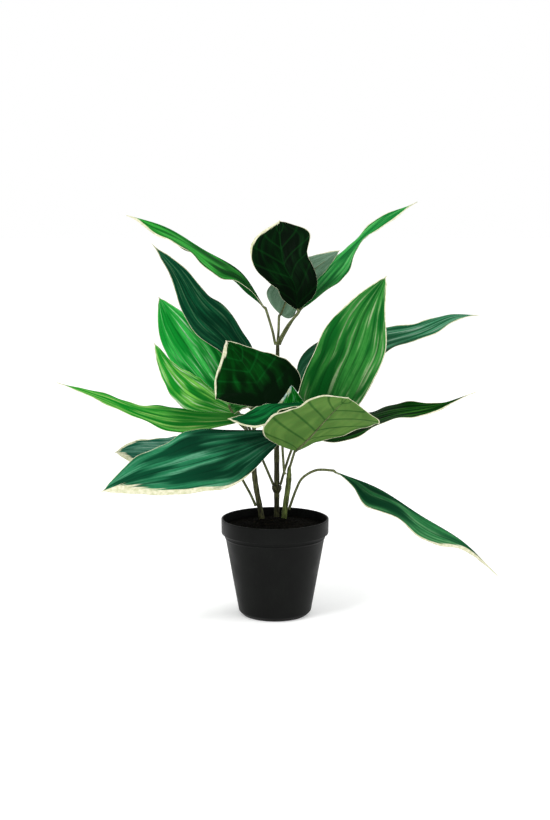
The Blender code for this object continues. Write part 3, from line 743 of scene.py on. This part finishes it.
def plastic_material(name):
    """Matte black moulded plastic with a fine grain and a trace of dust."""
    nodes = Nodes(name)
    place = nodes.place()
    grain = nodes.noise(place, 1500.0, 2.0)
    dust = nodes.noise(place, 45.0, 3.0)
    colour = nodes.mix(nodes.ramp(dust, 0.4, 0.75, 0.0, 0.5), *map(linear, POT_SHADES))
    nodes.link(colour, nodes.shader.inputs["Base Color"])
    nodes.link(nodes.ramp(dust, 0.3, 0.7, 0.40, 0.52), nodes.shader.inputs["Roughness"])
    nodes.shader.inputs["Specular IOR Level"].default_value = POT_GLOSS
    nodes.bump(grain, 0.25, 0.0002)
    return nodes.material


def soil_material(name):
    """Dark crumbs with a few brown fibres."""
    nodes = Nodes(name)
    place = nodes.place()
    crumbs = nodes.noise(place, 420.0, 4.0)
    fibres = nodes.noise(place, 150.0, 3.0)
    colour = nodes.mix(nodes.ramp(crumbs, 0.35, 0.7), *map(linear, SOIL_SHADES))
    colour = nodes.mix(nodes.ramp(fibres, 0.62, 0.72, 0.0, 0.5), colour, linear(SOIL_FIBRE))
    nodes.link(colour, nodes.shader.inputs["Base Color"])
    nodes.shader.inputs["Roughness"].default_value = 0.95
    nodes.shader.inputs["Specular IOR Level"].default_value = SOIL_GLOSS
    nodes.bump(crumbs, 0.8, 0.0015)
    return nodes.material


def floor_material(name):
    """Pale seamless paper."""
    nodes = Nodes(name)
    tone = nodes.noise(nodes.place(), 6.0, 2.0)
    colour = nodes.mix(nodes.ramp(tone, 0.3, 0.7), (0.80, 0.80, 0.80, 1.0), (0.84, 0.84, 0.84, 1.0))
    nodes.link(colour, nodes.shader.inputs["Base Color"])
    nodes.shader.inputs["Roughness"].default_value = 0.9
    nodes.shader.inputs["Specular IOR Level"].default_value = FLOOR_GLOSS
    nodes.shader.inputs["Emission Color"].default_value = WHITE
    nodes.shader.inputs["Emission Strength"].default_value = FLOOR_GLOW
    return nodes.material


# ---------------------------------------------------------------- meshes


def add_mesh(name, points, faces, material):
    data = bpy.data.meshes.new(name)
    data.from_pydata([tuple(point) for point in points], [], faces)
    built = bmesh.new()
    built.from_mesh(data)
    bmesh.ops.recalc_face_normals(built, faces=built.faces)
    built.to_mesh(data)
    built.free()
    data.shade_smooth()
    data.materials.append(material)
    made = bpy.data.objects.new(name, data)
    bpy.context.scene.collection.objects.link(made)
    return made


def set_attribute(piece, name, values):
    layer = piece.data.attributes.new(name, "FLOAT", "POINT")
    layer.data.foreach_set("value", np.asarray(values, np.float32))


def grid_faces(rows, columns, offset, turned):
    """Quads of a grid of points that starts at offset, facing the other way where turned."""
    faces = []
    for row in range(rows - 1):
        for column in range(columns - 1):
            corner = offset + row * columns + column
            quad = (corner, corner + 1, corner + columns + 1, corner + columns)
            faces.append(quad[::-1] if turned else quad)
    return faces


def rim_faces(rows, columns):
    """Quads that join the edges of two grids of the same shape, the second stored after the first."""
    ring = [(0, column) for column in range(columns)]
    ring += [(row, columns - 1) for row in range(1, rows)]
    ring += [(rows - 1, column) for column in range(columns - 2, -1, -1)]
    ring += [(row, 0) for row in range(rows - 2, 0, -1)]
    order = [row * columns + column for row, column in ring]
    second = rows * columns
    return [(a, a + second, b + second, b) for a, b in zip(order, order[1:] + order[:1])]


def rib_profile(look, across, share):
    """0 in a vein and 1 midway between two veins, over the blade."""
    if look["branch"]:
        phase = FEATHER_COUNT * share - FEATHER_SWEEP * np.abs(across) ** FEATHER_BEND
    else:
        phase = look["ribs"] * np.abs(across) ** RIB_CROWDING + RIB_SWAY * np.sin(RIB_TURNS * share)
    feather = np.abs(np.sin(math.pi * phase))
    midrib = np.clip(np.abs(across) / MIDRIB_GROOVE, 0.0, 1.0)
    return np.minimum(feather, midrib)


def add_blade(leaf_name, material):
    """The blade's two faces a cloth's thickness apart, with ribs, a folded midrib and a frilled margin."""
    leaf, look = LEAVES[leaf_name], LOOKS[leaf_name]
    shares = np.linspace(0.0, 1.0, BLADE_ALONG)
    across = np.linspace(-1.0, 1.0, BLADE_ACROSS + 1)
    side = (across > 0).astype(int)
    height, count, phase = leaf["wave"]
    middle = np.zeros((len(shares), len(across), 3))
    face_out = np.zeros_like(middle)
    half_width = np.zeros((len(shares), len(across)))
    for row, share in enumerate(shares):
        place, sideways, face = leaf_frame(leaf, share)
        halves = [smooth_path(leaf[key], share**CROWDING) for key in ("left", "right")]
        near = min(1.0, (1.0 - share) / look["tail"])
        ends = TIP_WIDTH + (1.0 - TIP_WIDTH) * near**2 * (3 - 2 * near)
        width = np.array(halves)[side] * ends
        fold = np.radians(np.array(leaf["fold"], float))[side]
        swell = math.sin(math.pi * share)
        swing = np.sin(2 * math.pi * (count * share + phase + WAVE_SHIFT * side))
        frill = np.sin(2 * math.pi * (FRILL_COUNT * share + FRILL_PHASE * phase + FRILL_SHIFT * side))
        ripple = height * across**2 * swing * swell + FRILL_HEIGHT * across**6 * frill * swell
        out = width * across * np.cos(fold)
        rise = width * np.abs(across) * np.sin(fold) + ripple
        middle[row] = place + np.outer(out, sideways) + np.outer(rise, face)
        face_out[row] = face
        half_width[row] = width
    across_all = np.broadcast_to(across, half_width.shape)
    share_all = np.broadcast_to(shares[:, None], half_width.shape)
    rib = rib_profile(look, across_all, share_all)
    fade = np.sin(math.pi * np.clip(share_all, 0, 1)) ** 0.5 * (1 - across_all**4)
    middle += face_out * (RIB_HEIGHT * (rib - 0.5) * fade)[..., None]
    thick = MARGIN_THICKNESS + (BLADE_THICKNESS - MARGIN_THICKNESS) * (1 - across_all**8)
    upper = middle + face_out * (thick / 2)[..., None]
    lower = middle - face_out * (thick / 2)[..., None]
    rows, columns = half_width.shape
    points = np.concatenate([upper.reshape(-1, 3), lower.reshape(-1, 3)]) * MM
    faces = grid_faces(rows, columns, 0, False)
    faces += grid_faces(rows, columns, rows * columns, True)
    faces += rim_faces(rows, columns)
    piece = add_mesh(leaf_name.replace("leaf", "blade"), points, faces, material)
    cream = np.array([np.interp(shares, CREAM_SHARES, look[key]) for key in ("left", "right")])
    band = (1 - np.abs(across_all)) * half_width / cream[side].T
    set_attribute(piece, "across", np.tile(across_all.ravel(), 2))
    set_attribute(piece, "share", np.tile(share_all.ravel(), 2))
    set_attribute(piece, "rib", np.tile(rib.ravel(), 2))
    set_attribute(piece, "band", np.tile(band.ravel(), 2))
    set_attribute(piece, "under", np.repeat([0.0, 1.0], rows * columns))
    return piece


def add_tube(name, path, radii, sides, material):
    """A round tube along a path, closed at both ends, with a radius at each point."""
    path = np.asarray(path, float)
    tangents = np.gradient(path, axis=0)
    tangents /= np.linalg.norm(tangents, axis=1)[:, None]
    guide = np.array([0.0, 1.0, 0.0]) if abs(tangents[0][1]) < 0.9 else np.array([1.0, 0.0, 0.0])
    points = []
    for place, tangent, radius in zip(path, tangents, radii):
        first = unit(guide - tangent * np.dot(guide, tangent))
        second = np.cross(tangent, first)
        guide = first
        for step in range(sides):
            turn = 2 * math.pi * step / sides
            points.append(place + radius * (math.cos(turn) * first + math.sin(turn) * second))
    faces = []
    for row in range(len(path) - 1):
        for step in range(sides):
            corner = row * sides + step
            beside = row * sides + (step + 1) % sides
            faces.append((corner, beside, beside + sides, corner + sides))
    faces.append(tuple(range(sides))[::-1])
    faces.append(tuple(range(len(points) - sides, len(points))))
    return add_mesh(name, np.array(points) * MM, faces, material)


def add_petiole(name, material):
    """The leaf stalk, which runs on under the blade as its midrib and thins out towards the tip."""
    leaf = LEAVES["leaf_" + name]
    stalk = petiole_points(name)
    steps = 10 * (len(stalk) - 1)
    path = [smooth_path(stalk, step / steps) for step in range(steps + 1)]
    radii = []
    for step in range(steps + 1):
        up = min(1.0, step / (FOOT_LENGTH * steps))
        radii.append(PETIOLE_RADIUS * (PETIOLE_FOOT + (PETIOLE_HEAD - PETIOLE_FOOT) * up))
    for share in np.linspace(0.01, MIDRIB_REACH, MIDRIB_STEPS):
        place, _, face = leaf_frame(leaf, share)
        radius = PETIOLE_RADIUS * (1.0 - MIDRIB_TAPER * share / MIDRIB_REACH)
        path.append(place - face * (MIDRIB_SINK * radius + RIB_HEIGHT / 2))
        radii.append(radius)
    return add_tube("stalk_" + name, path, radii, PETIOLE_SIDES, material)


def add_stem(name, material):
    """A stem with slight swellings, narrower and rounded at its top."""
    path = STEMS[name]
    steps = STEM_STEPS
    places = [smooth_path(path, step / steps) for step in range(steps + 1)]
    radii = []
    for step in range(steps + 1):
        past = max(0.0, (step / steps - STEM_NARROWS_AT) / (1 - STEM_NARROWS_AT))
        swelling = 1 + STEM_SWELLING * math.sin(step * STEM_SWELL_TURN)
        radii.append(STEM_RADIUS * (1 - STEM_NARROWING * past) * swelling)
    top = unit(places[-1] - places[-2])
    for share in STEM_CAP_SHARES:
        places.append(places[steps] + top * STEM_CAP * share)
        radii.append(radii[steps] * math.sqrt(1 - share**2))
    return add_tube("stalk_of_" + name, places, radii, STEM_SIDES, material)


def add_turned(name, profile, steps, material, centre=(0.0, 0.0)):
    """A body of revolution. The profile runs down its outer side from axis to axis, or is a closed ring."""
    points = []
    faces = []
    ring = profile[0][0] > 0
    for radius, height in profile:
        for step in range(steps):
            turn = 2 * math.pi * step / steps
            x, y = centre[0] + radius * math.cos(turn), centre[1] + radius * math.sin(turn)
            points.append((x * MM, y * MM, height * MM))
    rows = len(profile)
    for row in range(rows if ring else rows - 1):
        after = (row + 1) % rows
        for step in range(steps):
            beside = (step + 1) % steps
            faces.append(
                (row * steps + step, after * steps + step, after * steps + beside, row * steps + beside)
            )
    return add_mesh(name, points, faces, material)


def rounded(profile, radius, arc_steps=4):
    """The profile with each inner corner turned into a small arc of about the radius."""
    done = [profile[0]]
    for before, corner, after in zip(profile, profile[1:], profile[2:]):
        before, corner, after = (np.array(point, float) for point in (before, corner, after))
        near = min(radius, 0.45 * np.linalg.norm(before - corner), 0.45 * np.linalg.norm(after - corner))
        start = corner + unit(before - corner) * near
        end = corner + unit(after - corner) * near
        for step in range(arc_steps + 1):
            share = step / arc_steps
            done.append(
                tuple((1 - share) ** 2 * start + 2 * share * (1 - share) * corner + share**2 * end)
            )
    done.append(profile[-1])
    return done


def wall_radius(height):
    """Outside radius of the tapered wall at a height."""
    band = POT_HEIGHT - RIM_BAND
    share = (height - BASE_ROUND) / (band - BASE_ROUND)
    return BASE_RADIUS + (SHOULDER_RADIUS - BASE_RADIUS) * share


def add_pot(material):
    band = POT_HEIGHT - RIM_BAND
    inner = RIM_RADIUS - WALL
    profile = [
        (AXIS_RADIUS, FLOOR),
        (BASE_RADIUS - WALL, FLOOR),
        (SHOULDER_RADIUS - WALL, band + LEDGE_LOW),
        (inner, band + LEDGE_HIGH),
        (inner, POT_HEIGHT - 0.4),
        (inner + EDGE_ROUND, POT_HEIGHT),
        (RIM_RADIUS - EDGE_ROUND, POT_HEIGHT),
        (RIM_RADIUS, POT_HEIGHT - EDGE_ROUND),
        (RIM_RADIUS - 0.2, band + 0.8),
        (RIM_RADIUS - 0.9, band),
        (SHOULDER_RADIUS, band),
        (wall_radius(BEAD_HEIGHT + BEAD_HALF), BEAD_HEIGHT + BEAD_HALF),
        (wall_radius(BEAD_HEIGHT) + BEAD_PROUD, BEAD_HEIGHT),
        (wall_radius(BEAD_HEIGHT - BEAD_HALF), BEAD_HEIGHT - BEAD_HALF),
        (wall_radius(WALL_MIDDLE), WALL_MIDDLE),
        (BASE_RADIUS, BASE_ROUND),
        (BASE_RADIUS - BASE_ROUND, 0),
        (AXIS_RADIUS, 0),
    ]
    return add_turned("pot_shell", rounded(profile, CORNER_ROUND), TURN_STEPS, material)


def add_soil(material):
    """The mound with crumbs raised on it."""
    edge = RIM_RADIUS - WALL - SOIL_GAP
    mound = SOIL_CROWN - SOIL_EDGE
    foot = edge - SOIL_TAPER
    profile = [(AXIS_RADIUS, SOIL_FLOOR), (foot, SOIL_FLOOR), (foot, SOIL_FLOOR + SOIL_STEP)]
    profile.append((edge, SOIL_FLOOR + 2 * SOIL_STEP))
    for ring in range(SOIL_RINGS, -1, -1):
        share = ring / SOIL_RINGS
        radius = max(AXIS_RADIUS, edge * share)
        profile.append((radius, SOIL_EDGE + mound * math.cos(math.pi / 2 * share) ** 2))
    profile.reverse()
    piece = add_turned("soil_bed", profile, TURN_STEPS, material)
    for point in piece.data.vertices:
        place = point.co * 1000
        if place.z < SOIL_EDGE - 0.5:
            continue
        crumb = sum(noise.noise(place * fineness) * height for fineness, height in CRUMBS)
        fade = min(1.0, max(0.0, (edge - math.hypot(place.x, place.y)) / CRUMB_FADE))
        point.co.z += crumb * fade * MM
    return piece


def add_collar(material):
    low, high = COLLAR_HEIGHTS
    middle = (low + high) / 2
    axis = stem_axis("stem_centre", middle)
    bore = STEM_RADIUS - COLLAR_BITE
    profile = [
        (bore, high),
        (COLLAR_RADIUS - COLLAR_TOP_CHAMFER[0], high),
        (COLLAR_RADIUS, high - COLLAR_TOP_CHAMFER[1]),
        (COLLAR_RADIUS, middle),
        (COLLAR_RADIUS - COLLAR_SHOULDER[0], middle - COLLAR_SHOULDER[1]),
        (bore + COLLAR_LIP, low),
        (bore, low),
    ]
    return add_turned("collar_ring", profile, COLLAR_STEPS, material, centre=(axis[0], axis[1]))


# ---------------------------------------------------------------- the plant

def stand_for(piece, node):
    """The piece takes the CAD node's place, on the plant's one body."""
    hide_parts(node)
    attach(piece, "root")


stand_for(add_pot(plastic_material("black_plastic")), "pot")
stand_for(add_soil(soil_material("dark_soil")), "soil")
stem_skin = bark_material("stem_skin", STEM_SHADES, STEM_GRAIN)
green_skin = bark_material("green_stem_skin", GREEN_STEM_SHADES, STEM_GRAIN)
stalk_skin = bark_material("stalk_skin", STALK_SHADES, STALK_GRAIN)
stand_for(add_collar(stem_skin), "stem_collar")
for stem_name in STEMS:
    skin = green_skin if stem_name == "stem_right" else stem_skin
    stand_for(add_stem(stem_name, skin), stem_name)
for petiole_name in PETIOLES:
    stand_for(add_petiole(petiole_name, stalk_skin), "petiole_" + petiole_name)
for number, leaf_name in enumerate(LEAVES):
    cloth = leaf_material("cloth_of_" + leaf_name, LOOKS[leaf_name], SEED_STEP * number)
    stand_for(add_blade(leaf_name, cloth), leaf_name)

# ---------------------------------------------------------------- floor, light and camera


def add_backdrop():
    """A flat paper floor so wide that its edge is out of sight."""
    half = FLOOR_HALF
    points = [(-half, -half, 0.0), (half, -half, 0.0), (half, half, 0.0), (-half, half, 0.0)]
    return add_mesh("backdrop", points, [(0, 1, 2, 3)], floor_material("paper"))


def add_light(name, place, size, power):
    data = bpy.data.lights.new(name, "AREA")
    data.size = size
    data.energy = power
    lamp = bpy.data.objects.new(name, data)
    lamp.location = place
    aim = Vector(PLANT_MIDDLE) - Vector(place)
    lamp.rotation_euler = aim.to_track_quat("-Z", "Y").to_euler()
    bpy.context.scene.collection.objects.link(lamp)


add_backdrop()
for light_name, light in LIGHTS.items():
    add_light(light_name, **light)

world = bpy.data.worlds.new("studio")
world.use_nodes = True
world.node_tree.nodes["Background"].inputs["Color"].default_value = WHITE
world.node_tree.nodes["Background"].inputs["Strength"].default_value = 1.0
bpy.context.scene.world = world
bpy.context.scene.view_settings.view_transform = "Standard"

camera_data = bpy.data.cameras.new("camera")
camera_data.lens = CAMERA_LENS
camera_data.sensor_width = SENSOR_WIDTH
camera = bpy.data.objects.new("camera", camera_data)
camera.location = CAMERA_PLACE
camera.rotation_euler = (math.radians(90.0 - CAMERA_PITCH), 0.0, 0.0)
bpy.context.scene.collection.objects.link(camera)
bpy.context.scene.camera = camera

bpy.context.view_layer.update()
